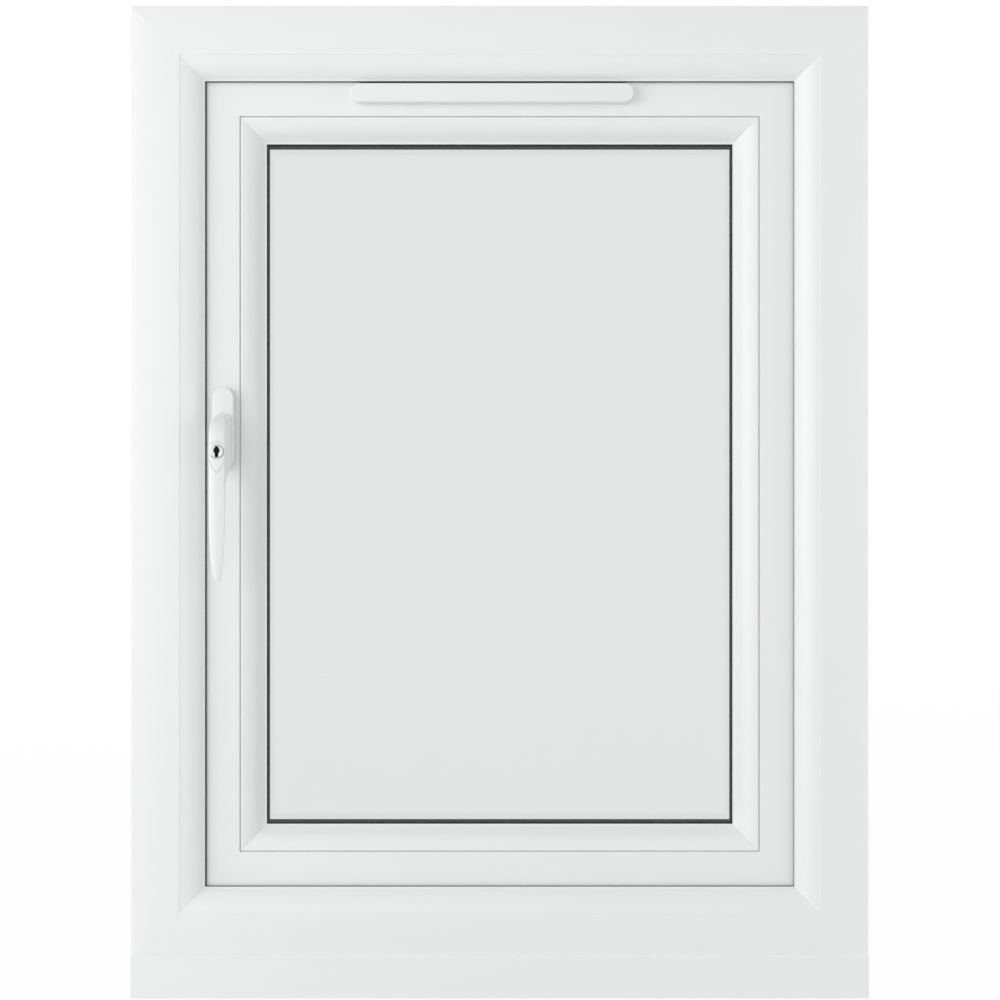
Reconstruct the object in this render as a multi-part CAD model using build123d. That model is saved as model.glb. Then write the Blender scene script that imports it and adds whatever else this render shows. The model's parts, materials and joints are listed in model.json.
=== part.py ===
"""Side-hung window of plastic profiles on a cill, seen from the room.

Sizes are in millimetres. X runs to the right as seen from the room, Y runs from
the room to the outside, Z is up. The cill's flat underside is z = 0.
"""
from math import cos, radians, sin
import os

from build123d import *

os.makedirs("parts", exist_ok=True)

# Outer frame.
frame_width = 700.0
frame_height = 907.0
frame_depth = 70.0
frame_flat = 46.0
frame_face = 68.0
rebate_floor = 48.0
trim_groove = 2.0
# Mouldings on the frame, the sash's outside leg and the beads.
moulding_step = 0.8
moulding_depth = 14.0
lip_width = 1.6
gentle_slope = 7.0
steep_slope = 56.0
bead_steep_slope = 47.0
# Sash.
sash_recess = 18.0
sash_depth = 70.0
sash_edge = 60.0
flange_edge = 40.0
seal_gap = 3.0
bead_line = 101.0
bead_nose = 125.0
leg_edge = 120.5
leg_lip = 7.5
hardware_groove = 3.0
hardware_near = 41.0
hardware_far = 57.0
# Walls of the hollow profiles.
wall = 2.8
web = 1.4
# Glazing.
pane = 4.0
cavity = 20.0
glass_edge = 107.0
spacer_line = 120.0
spacer_height = 7.0
bead_lip_thick = 1.4
bead_gasket = 1.6
clip_near = 27.0
clip_far = 31.0
clip_deep = 3.5
clip_play = 0.3
# Cill.
cill_height = 34.0
cill_upstand = 6.0
cill_proud = 3.0
cill_out = 77.0
cill_nose = 19.0
end_cap = 2.5
# Handle. Heights are from the spindle, and outs are from the sash's room face.
handle_in = 86.1
handle_above_middle = 58.5
plate_width = 20.4
plate_below = 43.5
plate_above = 32.8
plate_thick = 11.0
plate_edge = 1.2
lever_width = 15.3
lever_root_width = 16.8
lever_out = 50.0
lever_back = 38.0
lever_length = 150.0
lever_rise = 9.0
lever_soft = 2.6
lever_gap = 0.2
boss_radius = 7.0
running_clearance = 0.05
spindle_side = 7.0
spindle_hole = 12.0
barrel_drop = 29.0
barrel_radius = 6.7
barrel_length = 9.0
barrel_play = 0.15
key_width = 3.0
key_height = 10.0
key_radius = 3.15
insert_radius = 9.6
insert_point = 19.0
insert_thick = 1.6
# Lock, keeps and stays in the gap between sash and frame.
lock_strip = 2.0
lock_end_margin = 164.0
gearbox_thick = 12.0
gearbox_half = 38.0
cam_radius = 5.0
cam_inset = 39.5
keep_length = 60.0
keep_thick = 3.0
stay_length = 420.0
stay_width = 18.0
stay_track = 2.6
# Trickle vent.
vent_length = 270.3
vent_height = 17.0
vent_depth = 10.0
vent_x = -7.0
vent_down = 80.2
vent_wall = 1.5
vent_edge = 2.5
vent_slot = 112.0
vent_slot_height = 10.0
canopy_length = 290.0
canopy_height = 24.0
canopy_depth = 16.0
canopy_wall = 2.0
# Drainage.
drain_in = 150.0
drain_up = 15.0
drain_slot = 28.0
drain_cover_length = 40.0
drain_cover_height = 12.0
drain_cover_depth = 5.0

# Depths and heights that follow from the sizes above.
room_face = -frame_depth / 2
sash_back = sash_recess + sash_depth
flange_depth = frame_depth + seal_gap
upstand_back = sash_recess - 2.2
bead_tip = sash_recess + moulding_depth
bead_back = bead_tip + bead_lip_thick
pane_front = bead_back + bead_gasket
pane_mid = pane_front + pane
pane_far = pane_mid + cavity
pane_back = pane_far + pane
leg_front = pane_back + seal_gap
leg_top = leg_front + leg_lip
exterior_flat = bead_line - 1.5
frame_mid_z = cill_height + frame_height / 2
frame_top = cill_height + frame_height
handle_x = handle_in - frame_width / 2
spindle_z = frame_mid_z + handle_above_middle
barrel_z = spindle_z - barrel_drop
vent_z = frame_top - vent_down


def ovolo(top, lip, end_slope):
    """Points and arc of a moulding from its flat's edge to its lip."""
    outward = 1 if lip[1] > top[1] else -1
    gentle, steep = radians(gentle_slope), radians(end_slope)
    run = lip[0] - top[0]
    drop = abs(lip[1] - top[1])
    across, down = sin(steep) - sin(gentle), cos(gentle) - cos(steep)
    radius = (run * sin(steep) - drop * cos(steep)) / (across * sin(steep) - down * cos(steep))

    def on_arc(angle):
        return (top[0] + radius * (sin(angle) - sin(gentle)),
                top[1] + outward * radius * (cos(gentle) - cos(angle)))

    return [(on_arc((gentle + steep) / 2), on_arc(steep)), lip]


def outline(*steps):
    """Closed face through points; a pair of points is an arc through the first."""
    start = at = steps[0]
    edges = []
    for step in steps[1:]:
        if isinstance(step[0], tuple):
            edges.append(ThreePointArc(at, step[0], step[1]))
            at = step[1]
        else:
            edges.append(Line(at, step))
            at = step
    edges.append(Line(at, start))
    return make_face(edges)


def cell(in_near, depth_near, in_far, depth_far):
    return outline((in_near, depth_near), (in_far, depth_near),
                   (in_far, depth_far), (in_near, depth_far))


def member(section, side):
    """Section run along one side of the window and mitred at both ends."""
    upright = side in ("left", "right")
    length, across = (frame_height, frame_width) if upright else (frame_width, frame_height)
    half = length / 2
    reach = half / 2
    start = Plane(origin=(half, 0, 0), x_dir=(0, 0, 1), z_dir=(-1, 0, 0))
    bar = extrude(start * section, length)
    mitred = outline((-half, 0), (half, 0), (half - reach, reach), (reach - half, reach))
    bar = bar & extrude(Plane.XZ * mitred, 2 * frame_depth, both=True)
    turn = {"bottom": 0, "left": 90, "top": 180, "right": -90}[side]
    return Pos(0, room_face, frame_mid_z) * Rot(0, turn, 0) * Pos(0, 0, -across / 2) * bar


def ring(section):
    """The same section on all four sides, joined at the corners."""
    whole = member(section, "bottom")
    for side in ("left", "top", "right"):
        whole = whole + member(section, side)
    return whole


def block(x, y, z):
    """Box between pairs of limits."""
    middle = Pos(sum(x) / 2, sum(y) / 2, sum(z) / 2)
    return middle * Box(x[1] - x[0], y[1] - y[0], z[1] - z[0])


def rod(radius, y, x, z):
    """Cylinder along Y between two limits."""
    return Pos(x, sum(y) / 2, z) * Rot(90, 0, 0) * Cylinder(radius, y[1] - y[0])


def depth(value):
    """Y of a depth behind the frame's room face."""
    return room_face + value


def stadium(length, height, y, x, z):
    """Bar with half-round ends between two limits of Y, lying along X or Z."""
    if length > height:
        shape = SlotOverall(length, height)
    else:
        shape = SlotOverall(height, length, rotation=90)
    return Pos(x, y[1], z) * extrude(Plane.XZ * shape, y[1] - y[0])


pieces = {}

# Outer frame: a hollow section with a raised moulding on the room side.
frame_moulding = ovolo((frame_flat, moulding_step), (frame_face - lip_width, moulding_depth), steep_slope)
frame_section = outline(
    (0, 0), (frame_flat, 0), (frame_flat, moulding_step), *frame_moulding,
    (frame_face, moulding_depth), (frame_face, upstand_back), (rebate_floor, upstand_back),
    (rebate_floor, frame_depth - 6), (rebate_floor - 1.5, frame_depth), (0, frame_depth),
    (0, 54), (trim_groove, 54), (trim_groove, 48), (0, 48),
    (0, 22), (trim_groove, 22), (trim_groove, 16), (0, 16),
)
frame_webs = [wall - web, 17.0, 50.0, frame_depth - wall]
for near, far in zip(frame_webs, frame_webs[1:]):
    frame_section -= cell(trim_groove + wall, near + web, rebate_floor - wall - 1, far)
frame_section -= outline((46.4, 4.4), (52, 5.4), (57.5, 9.0), (60.2, 12.8), (46.4, 12.8))
frame_sides = {"frame_head": "top", "frame_bottom_rail": "bottom",
               "frame_lock_jamb": "left", "frame_hinge_jamb": "right"}
for name, side in frame_sides.items():
    pieces[name] = member(frame_section, side)

# Sash: a hollow section with a flange outside and a seat for the glass.
leg_start = (exterior_flat, sash_back - moulding_step)
arc, lip = ovolo(leg_start, (leg_edge - lip_width, leg_top), steep_slope)
sash_section = outline(
    (sash_edge, sash_recess), (bead_line, sash_recess), (bead_line, clip_near),
    (bead_line - clip_deep, clip_near), (bead_line - clip_deep, clip_far),
    (bead_line, clip_far), (bead_line, leg_front), (leg_edge, leg_front), (leg_edge, leg_top),
    lip, arc[1], (arc[0], leg_start), (exterior_flat, sash_back), (flange_edge, sash_back),
    (flange_edge, flange_depth), (sash_edge, flange_depth), (sash_edge, hardware_far),
    (sash_edge + hardware_groove, hardware_far), (sash_edge + hardware_groove, hardware_near),
    (sash_edge, hardware_near),
)
sash_inner = bead_line - clip_deep - wall
main_cell = (hardware_near - 8, hardware_far + 1.5)
sash_section -= cell(sash_edge + wall, sash_recess + wall, sash_inner, main_cell[0] - web)
sash_section -= cell(sash_edge + hardware_groove + wall, main_cell[0], sash_inner, main_cell[1])
sash_section -= cell(sash_edge + wall, main_cell[1] + web, bead_line - wall, flange_depth - 2)
sash_section -= cell(flange_edge + wall, flange_depth + wall, bead_line - wall, sash_back - wall)
sash_section -= outline((bead_line, leg_front + wall), (leg_edge - 7, leg_front + wall),
                        (leg_edge - 9.5, leg_top + 2.5), (bead_line, sash_back - 5))
sash_sides = {"sash_top_rail": "top", "sash_bottom_rail": "bottom",
              "sash_lock_stile": "left", "sash_hinge_stile": "right"}
for name, side in sash_sides.items():
    pieces[name] = member(sash_section, side)

# Glazing beads clipped into the sash from the room side.
bead_edge = bead_line + 0.9
bead_start = (bead_edge + 0.5, sash_recess + 0.3)
bead_moulding = ovolo(bead_start, (bead_nose - lip_width, bead_tip), bead_steep_slope)
bead_section = outline(
    (bead_line, bead_back), (bead_line, clip_far - clip_play),
    (bead_line - clip_deep + clip_play, clip_far - clip_play),
    (bead_line - clip_deep + clip_play, clip_near + clip_play),
    (bead_line, clip_near + clip_play), (bead_line, sash_recess + wall),
    (bead_edge, sash_recess + wall), (bead_edge, sash_recess + 0.8),
    bead_start, *bead_moulding,
    (bead_nose, bead_tip), (bead_nose, bead_back),
)
bead_section -= outline((103.2, 22.6), (108.5, 23), (115.5, 29.2), (116, 31.6), (103.2, 31.6))
bead_sides = {"bead_top": "top", "bead_bottom": "bottom",
              "bead_lock_side": "left", "bead_hinge_side": "right"}
for name, side in bead_sides.items():
    pieces[name] = member(bead_section, side)

# Sealed glass unit: two panes, a hollow spacer and the edge seal around it.
glass_width = frame_width - 2 * glass_edge
glass_height = frame_height - 2 * glass_edge
glass_x = (-glass_width / 2, glass_width / 2)
glass_z = (frame_mid_z - glass_height / 2, frame_mid_z + glass_height / 2)
pieces["glass_inner_pane"] = block(glass_x, (depth(pane_front), depth(pane_mid)), glass_z)
pieces["glass_outer_pane"] = block(glass_x, (depth(pane_far), depth(pane_back)), glass_z)
spacer_outer = spacer_line - spacer_height
spacer_section = cell(spacer_outer, pane_mid, spacer_line, pane_far)
spacer_section -= cell(spacer_outer + 1, pane_mid + 1, spacer_line - 1, pane_far - 1)
pieces["glass_spacer"] = ring(spacer_section)
pieces["glass_edge_seal"] = ring(cell(glass_edge, pane_mid, spacer_outer, pane_far))
packer_x = glass_width / 2 - 90
for name, side in (("left", -1), ("right", 1)):
    middle = side * packer_x
    pieces["glass_packer_" + name] = block(
        (middle - 50, middle + 50), (depth(pane_front + 1), depth(pane_back - 1)),
        (cill_height + bead_line, cill_height + glass_edge))

# Gaskets: glass to bead, glass to sash, sash to frame inside and outside.
pieces["bead_gasket"] = ring(cell(bead_nose - 10, bead_back, bead_nose + 0.2, pane_front))
gasket_edge = leg_edge + 2.3
pieces["glazing_gasket"] = ring(outline(
    (leg_edge - 8, pane_back), (gasket_edge, pane_back), (gasket_edge, pane_back + 2),
    (leg_edge + 0.6, leg_front), (leg_edge - 8, leg_front)))
pieces["frame_seal"] = ring(outline(
    (sash_edge + 0.8, upstand_back), (frame_face + 0.9, upstand_back),
    (frame_face + 0.9, upstand_back + 1.4), (frame_face - 0.6, sash_recess),
    (sash_edge + 0.8, sash_recess)))
pieces["sash_seal"] = ring(cell(flange_edge + 0.8, frame_depth, flange_edge + 5.8, flange_depth))

# Cill: hollow extrusion with an upstand in front of the frame and a sloped outside.
inside_y = room_face - cill_proud
frame_back_y = -room_face
nose_y = frame_back_y + cill_out
top_round = 1.0
cill_shape = outline(
    (inside_y, 0), (inside_y, cill_height + cill_upstand - top_round),
    ((inside_y + 0.3 * top_round, cill_height + cill_upstand - 0.3 * top_round),
     (inside_y + top_round, cill_height + cill_upstand)),
    (room_face, cill_height + cill_upstand), (room_face, cill_height),
    (frame_back_y, cill_height), (frame_back_y + 3, cill_height - 2),
    (nose_y - 4, cill_nose + 3), ((nose_y - 1.2, cill_nose + 1.8), (nose_y, cill_nose - 1)),
    (nose_y, 0), (nose_y - 7, 0), (nose_y - 7, 5), (nose_y - 13, 5), (nose_y - 13, 0),
)
cill_section = cill_shape
slope = (cill_height - 2 - cill_nose - 3) / (nose_y - 4 - frame_back_y - 3)
cell_limits = [inside_y + wall, -1.0, frame_back_y, frame_back_y + 31, nose_y - 16]
for near, far in zip(cell_limits, cell_limits[1:]):
    near_y = near if near == cell_limits[0] else near + web
    near_top = cill_height - wall - max(0.0, (near_y - frame_back_y) * slope + 2)
    far_top = cill_height - wall - max(0.0, (far - frame_back_y) * slope + 2)
    if far <= frame_back_y:
        near_top = far_top = cill_height - wall
    cill_section -= outline((near_y, wall), (far, wall), (far, far_top), (near_y, near_top))
run = Plane(origin=(0, 0, 0), x_dir=(0, 1, 0), z_dir=(1, 0, 0))
half_width = frame_width / 2
cap_shape = outline((inside_y + wall, wall), (frame_back_y, wall), (frame_back_y, cill_height - wall),
                    (inside_y + wall, cill_height - wall))
outside_shape = cill_shape & Pos((frame_back_y + nose_y) / 2, 0) * Rectangle(
    nose_y - frame_back_y, 4 * cill_height)
cap = extrude(run * (cap_shape + outside_shape), end_cap)
cap_left = Pos(-half_width, 0, 0) * cap
cap_right = Pos(half_width - end_cap, 0, 0) * cap
pieces["cill"] = extrude(run * cill_section, half_width, both=True) - cap_left - cap_right
pieces["cill_end_cap_left"] = cap_left
pieces["cill_end_cap_right"] = cap_right

# Drainage slots through the bottom rail, with a cover over each outside.
drain_z = cill_height + drain_up
for name, middle in (("left", drain_in - half_width), ("right", half_width - drain_in)):
    slot = block((middle - drain_slot / 2, middle + drain_slot / 2),
                 (depth(frame_depth - 10), depth(frame_depth + 1)), (drain_z - 2.5, drain_z + 2.5))
    floor_slot = block((middle - 44, middle - 44 + drain_slot), (depth(57), depth(61.5)),
                       (cill_height + 30, cill_height + rebate_floor + 1))
    pieces["frame_bottom_rail"] -= slot + floor_slot
    half_cover = drain_cover_length / 2
    cover_z = (drain_z - drain_cover_height / 2, drain_z + drain_cover_height / 2)
    cover = block((middle - half_cover, middle + half_cover),
                  (depth(frame_depth), depth(frame_depth + drain_cover_depth)), cover_z)
    cover = chamfer(cover.edges().filter_by(Axis.Z).group_by(Axis.Y)[-1], 2.5)
    cover -= block((middle - half_cover + 2, middle + half_cover - 2),
                   (depth(frame_depth - 1), depth(frame_depth + drain_cover_depth - 1.5)),
                   (cover_z[0] - 1, cover_z[1] - 1.5))
    pieces["drain_cover_" + name] = cover

# Trickle vent: slots through the top rail, a cover inside and a canopy outside.
vent_half_pitch = vent_slot / 2 + 6
for side in (-1, 1):
    pieces["sash_top_rail"] -= stadium(
        vent_slot, vent_slot_height, (depth(sash_recess - 1), depth(sash_back + 1)),
        vent_x + side * vent_half_pitch, vent_z)
vent_back = depth(sash_recess)
vent_front = vent_back - vent_depth
cover = stadium(vent_length, vent_height, (vent_front, vent_back), vent_x, vent_z)
cover = fillet(cover.edges().group_by(Axis.Y)[0], vent_edge)
cover -= stadium(vent_length - 2 * vent_wall, vent_height - 2 * vent_wall,
                 (vent_front + vent_wall, vent_back + 1), vent_x, vent_z)
for side in (-1, 1):
    middle = vent_x + side * vent_half_pitch
    cover -= block((middle - vent_slot / 2, middle + vent_slot / 2),
                   (vent_back - 6, vent_back - 3), (vent_z + 5, vent_z + vent_height))
pieces["vent_cover"] = cover
canopy_back = depth(sash_back)
canopy_x = (vent_x - canopy_length / 2, vent_x + canopy_length / 2)
canopy_z = (vent_z - canopy_height / 2, vent_z + canopy_height / 2)
canopy = block(canopy_x, (canopy_back, canopy_back + canopy_depth), canopy_z)
front_top = canopy.edges().filter_by(Axis.X).group_by(Axis.Y)[-1].sort_by(Axis.Z)[-1]
canopy = chamfer(front_top, 9, 6)
canopy -= block((canopy_x[0] + canopy_wall, canopy_x[1] - canopy_wall),
                (canopy_back - 1, canopy_back + canopy_depth - canopy_wall),
                (canopy_z[0] - 1, canopy_z[1] - 7 - canopy_wall))
pieces["vent_canopy"] = canopy

# Handle plate, with a bore that the lever's boss turns in.
face_y = depth(sash_recess)
plate_y = face_y - plate_thick
plate = stadium(plate_width, plate_below + plate_above, (plate_y, face_y), handle_x,
                spindle_z + (plate_above - plate_below) / 2)
plate = chamfer(plate.edges().group_by(Axis.Y)[0], plate_edge)
bore = rod(boss_radius + running_clearance, (plate_y - 1, face_y + 1), handle_x, spindle_z)
pieces["handle_plate"] = plate - bore
pieces["sash_lock_stile"] -= rod(
    spindle_hole / 2, (face_y - 1, depth(hardware_far)), handle_x, spindle_z)

# Lever: level sections from the head down to the tip, each with a soft, crowned front.
root_out = plate_thick + lever_gap


def lever_section(height, back, front, half_back, half_front):
    """Section at a height from the spindle, between two outs from the sash's face."""
    soft = min(lever_soft, 0.45 * (front - back), 0.6 * half_front)
    crown = min(0.5, 0.3 * soft)
    side = front - soft - crown
    edge = half_front - 0.9 * soft
    on_corner = (half_front - 0.26 * soft, -side - 0.71 * soft)
    edges = [
        Line((-half_back, -back), (half_back, -back)),
        Line((half_back, -back), (half_front, -side)),
        ThreePointArc((half_front, -side), on_corner, (edge, -side - soft)),
        ThreePointArc((edge, -side - soft), (0, -front), (-edge, -side - soft)),
        ThreePointArc((-edge, -side - soft), (-on_corner[0], on_corner[1]), (-half_front, -side)),
        Line((-half_front, -side), (-half_back, -back)),
    ]
    return Pos(handle_x, face_y, spindle_z + height) * make_face(edges)


half_root, half_lever = lever_root_width / 2, lever_width / 2
tip = -lever_length
lever = loft([
    lever_section(lever_rise - 0.3, root_out, root_out + 1.1, 2.6, 2.0),
    lever_section(lever_rise - 1.5, root_out, root_out + 5.8, 4.9, 4.2),
    lever_section(lever_rise - 4, root_out, root_out + 15.8, 7.2, 6.6),
    lever_section(1, root_out, lever_out - 13, half_root, half_lever),
    lever_section(-4, root_out, lever_out - 6.5, half_root, half_lever),
    lever_section(-10, root_out, lever_out - 2.4, half_root, half_lever),
    lever_section(-18, root_out, lever_out - 0.4, half_root, half_lever),
    lever_section(-30, root_out, lever_out, half_root, half_lever),
    lever_section(2 - plate_below, root_out, lever_out, half_root, half_lever),
    lever_section(-plate_below, lever_back - 21.5, lever_out, half_root - 0.1, half_lever),
    lever_section(-plate_below - 5, lever_back - 12, lever_out, 8.0, half_lever),
    lever_section(-plate_below - 10, lever_back - 4.5, lever_out, 7.6, half_lever),
    lever_section(-plate_below - 17, lever_back - 0.8, lever_out, 7.2, half_lever),
    lever_section(-plate_below - 27, lever_back, lever_out, 7.0, half_lever),
    lever_section(tip + 60, lever_back, lever_out, 6.9, half_lever),
    lever_section(tip + 38, lever_back + 0.2, lever_out - 0.1, 5.9, 7.2),
    lever_section(tip + 20, lever_back + 0.8, lever_out - 0.4, 4.9, 6.0),
    lever_section(tip + 8, lever_back + 1.8, lever_out - 1, 3.6, 4.4),
    lever_section(tip + 2, lever_back + 3, lever_out - 1.8, 2.3, 2.7),
    lever_section(tip, lever_back + 5.5, lever_out - 3, 1.2, 1.4),
], ruled=True)
root_y = face_y - root_out
front_y = face_y - lever_out
lever -= block((handle_x - 20, handle_x + 20), (root_y, face_y), (spindle_z - 90, spindle_z + 20))
lever += rod(boss_radius, (root_y - 1, face_y - 0.5), handle_x, spindle_z)

# Lock in the lever: a shield let into its front, with the key barrel in it.
lock_bore = rod(barrel_radius + barrel_play, (front_y - 1, front_y + barrel_length), handle_x, barrel_z)
shield = make_face([
    ThreePointArc((-insert_radius, 0), (0, insert_radius), (insert_radius, 0)),
    Spline((insert_radius, 0), (0, -insert_point), tangents=[(0, -1), (-1, -0.45)]),
    Spline((0, -insert_point), (-insert_radius, 0), tangents=[(-1, 0.45), (0, 1)]),
])
shield = Pos(handle_x, front_y + insert_thick, barrel_z) * extrude(Plane.XZ * shield, 2 * insert_thick)
pieces["lock_insert"] = (lever & shield) - lock_bore
lever -= shield + lock_bore
spindle_half = spindle_side / 2
spindle = block((handle_x - spindle_half, handle_x + spindle_half), (root_y - 6, depth(hardware_far - 2)),
                (spindle_z - spindle_half, spindle_z + spindle_half))
pieces["handle_spindle"] = spindle
pieces["handle_lever"] = lever - spindle
barrel = rod(barrel_radius, (front_y - 0.1, front_y + barrel_length), handle_x, barrel_z)
barrel = chamfer(barrel.edges().group_by(Axis.Y)[0], 0.4)
keyhole_y = (front_y - 1, front_y + 6)
keyhole = block((handle_x - key_width / 2, handle_x + key_width / 2), keyhole_y,
                (barrel_z - key_height / 2, barrel_z + key_height / 2))
keyhole += rod(key_radius, keyhole_y, handle_x, barrel_z + 1.2)
pieces["lock_barrel"] = barrel - keyhole


# Lock in the stile's edge groove, and its keeps on the jamb.
def lock_side_block(inward, depths, z):
    """Box on the lock side between limits in from the frame's edge, depth and height."""
    return block((inward[0] - half_width, inward[1] - half_width),
                 (depth(depths[0]), depth(depths[1])), z)


groove_floor = sash_edge + hardware_groove
groove_middle = (hardware_near + hardware_far) / 2
half_strip = (hardware_far - hardware_near) / 2 - 0.3
half_lock = frame_height / 2 - lock_end_margin
lock = lock_side_block((groove_floor - lock_strip, groove_floor),
                       (groove_middle - half_strip, groove_middle + half_strip),
                       (frame_mid_z - half_lock, frame_mid_z + half_lock))
case_in = (groove_floor, handle_in + 8)
case_depth = (groove_middle - gearbox_thick / 2, groove_middle + gearbox_thick / 2)
case_z = (spindle_z - gearbox_half, spindle_z + gearbox_half)
lock += lock_side_block(case_in, case_depth, case_z)
pieces["sash_lock_stile"] -= lock_side_block(
    (groove_floor - 1, groove_floor + wall + 1), (case_depth[0] - 0.4, case_depth[1] + 0.4),
    (case_z[0] - 1, case_z[1] + 1))
half_keep = keep_length / 2
for name, step in (("low", -1), ("mid", 0), ("high", 1)):
    cam_z = frame_mid_z + step * (half_lock - cam_inset)
    cam = Pos(sash_edge - 6 - half_width, depth(groove_middle), cam_z) * Rot(0, 90, 0)
    lock += cam * Pos(0, 0, 3.5) * Cylinder(0.6 * cam_radius, 9)
    lock += cam * Cylinder(cam_radius, 2)
    keep_far = groove_middle + 9
    keep = lock_side_block((rebate_floor, rebate_floor + keep_thick),
                           (groove_middle - 9, keep_far), (cam_z - half_keep, cam_z + half_keep))
    keep += lock_side_block((rebate_floor, sash_edge - 1),
                            (groove_middle - 9, groove_middle - cam_radius - 0.6),
                            (cam_z - half_keep + 6, cam_z + half_keep - 6))
    pieces["lock_keep_" + name] = keep
gear_bore = rod(0.75 * spindle_side, (depth(hardware_near - 1), depth(hardware_far + 1)),
                handle_x, spindle_z)
pieces["sash_lock"] = lock - gear_bore

# Friction stays in the gap above and below the sash: a track on the frame, an arm on the sash.
stay_x = (half_width - sash_edge - stay_length, half_width - sash_edge)
stay_y = (depth(groove_middle - stay_width / 2), depth(groove_middle + stay_width / 2))
for name, level, up in (("low", cill_height, 1), ("high", frame_top, -1)):
    heights = [level + up * rise for rise in (
        rebate_floor, rebate_floor + stay_track, sash_edge - stay_track, sash_edge)]
    frame_side, track_top, arm_top, sash_side = heights
    pieces["stay_track_" + name] = block(stay_x, stay_y, sorted((frame_side, track_top)))
    arm = block((stay_x[0] + 6, stay_x[1] - 6), (stay_y[0] + 3, stay_y[1] - 3),
                sorted((track_top, arm_top)))
    arm += block((stay_x[0] + 60, stay_x[1] - 2), stay_y, sorted((arm_top, sash_side)))
    pieces["stay_arm_" + name] = arm

for name, piece in pieces.items():
    export_step(piece, "parts/" + name + ".step")
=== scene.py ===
"""Looks of a white plastic side-hung window on a cill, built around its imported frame.

The scene is in metres in the frame's own axes: X to the right as seen from the room,
Y from the room to the outside, Z up. Sizes written in a section are millimetres.
"""

import json
from math import cos, pi, radians, sin, tan

import bmesh
import bpy
from mathutils import Matrix, Vector


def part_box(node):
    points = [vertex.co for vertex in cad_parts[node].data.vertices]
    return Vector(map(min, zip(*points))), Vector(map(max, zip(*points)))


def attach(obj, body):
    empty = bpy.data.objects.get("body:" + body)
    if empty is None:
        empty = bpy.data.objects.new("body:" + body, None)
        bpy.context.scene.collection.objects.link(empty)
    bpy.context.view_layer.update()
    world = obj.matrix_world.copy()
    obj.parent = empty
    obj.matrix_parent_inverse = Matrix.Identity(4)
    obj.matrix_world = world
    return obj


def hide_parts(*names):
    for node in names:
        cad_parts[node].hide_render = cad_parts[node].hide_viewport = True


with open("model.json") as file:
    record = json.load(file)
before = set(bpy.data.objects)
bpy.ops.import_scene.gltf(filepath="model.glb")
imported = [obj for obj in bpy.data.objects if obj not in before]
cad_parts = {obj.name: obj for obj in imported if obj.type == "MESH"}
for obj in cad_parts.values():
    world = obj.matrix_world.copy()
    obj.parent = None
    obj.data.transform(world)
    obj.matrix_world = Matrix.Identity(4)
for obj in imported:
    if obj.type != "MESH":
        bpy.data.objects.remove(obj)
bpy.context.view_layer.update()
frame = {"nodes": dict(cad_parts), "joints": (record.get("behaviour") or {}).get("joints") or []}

# Outer frame
# A welded ring of hollow white plastic profile, 70 mm deep. Its room side is flat at the
# edge and then rolls over a raised moulding to a thin lip. The corners are cut at 45
# degrees, melted together and cleaned flush, so only the moulding shows the joint.

MM = 0.001


def in_mm(box):
    """Lowest and highest corner of a box, turned from metres into millimetres."""
    return [Vector(corner) / MM for corner in box]


jamb_low, jamb_high = in_mm(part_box("frame_lock_jamb"))
far_high = in_mm(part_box("frame_hinge_jamb"))[1]
head_low, head_high = in_mm(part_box("frame_head"))
frame_width = far_high.x - jamb_low.x
frame_height = jamb_high.z - jamb_low.z
frame_middle = (jamb_high.z + jamb_low.z) / 2
room_face = head_low.y
frame_face, frame_depth = head_high.z - head_low.z, head_high.y - head_low.y
frame_flat, moulding_step, frame_slope = 46.0, 0.8, 56
lip_width, lip_depth, lip_short = 1.6, 14.0, 0.18
lip_edge = frame_face - lip_short
rebate_floor, upstand_back = 48.0, 15.8
rebate_chamfer_high, rebate_chamfer_deep = 1.5, 6.0
trim_groove_deep, trim_grooves = 2.0, ((54, 48), (22, 16))
big_round, inner_round, step_round, small_round = 0.7, 0.5, 0.35, 0.3
lip_round, fine_round, step_foot = 0.25, 0.2, 0.15


def moulding(top, lip, steepest, gentlest=7, segments=24):
    """Points of a moulding that starts gently, rounds over and ends steeply at the lip."""
    gentle, steep = radians(gentlest), radians(steepest)
    out = 1 if lip[1] > top[1] else -1
    run, drop = lip[0] - top[0], abs(lip[1] - top[1])
    across, down = sin(steep) - sin(gentle), cos(gentle) - cos(steep)
    radius = (run * sin(steep) - drop * cos(steep)) / (across * sin(steep) - down * cos(steep))
    points = []
    for index in range(1, segments + 1):
        angle = gentle + (steep - gentle) * index / segments
        points.append((top[0] + radius * (sin(angle) - sin(gentle)),
                       top[1] + out * radius * (cos(gentle) - cos(angle)), 0))
    return points


def rounded(corners, segments=5):
    """Outline with each corner (x, y, radius) turned into an arc."""
    points = []
    for index, (x, y, radius) in enumerate(corners):
        if radius == 0:
            points.append((x, y))
            continue
        here = Vector((x, y))
        before = Vector(corners[index - 1][:2]) - here
        after = Vector(corners[(index + 1) % len(corners)][:2]) - here
        half_angle = before.angle(after) / 2
        longest = 0.49 * min(before.length, after.length)
        reach = min(radius / tan(half_angle), longest)
        true_radius = reach * tan(half_angle)
        start, end = here + before.normalized() * reach, here + after.normalized() * reach
        middle = here + (before.normalized() + after.normalized()).normalized() * (
            true_radius / sin(half_angle))
        sweep = (start - middle).angle(end - middle)
        for step in range(segments + 1):
            part = step / segments
            way = ((start - middle) * sin((1 - part) * sweep)
                   + (end - middle) * sin(part * sweep)) / sin(sweep)
            points.append(tuple(middle + way))
    return points


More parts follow.
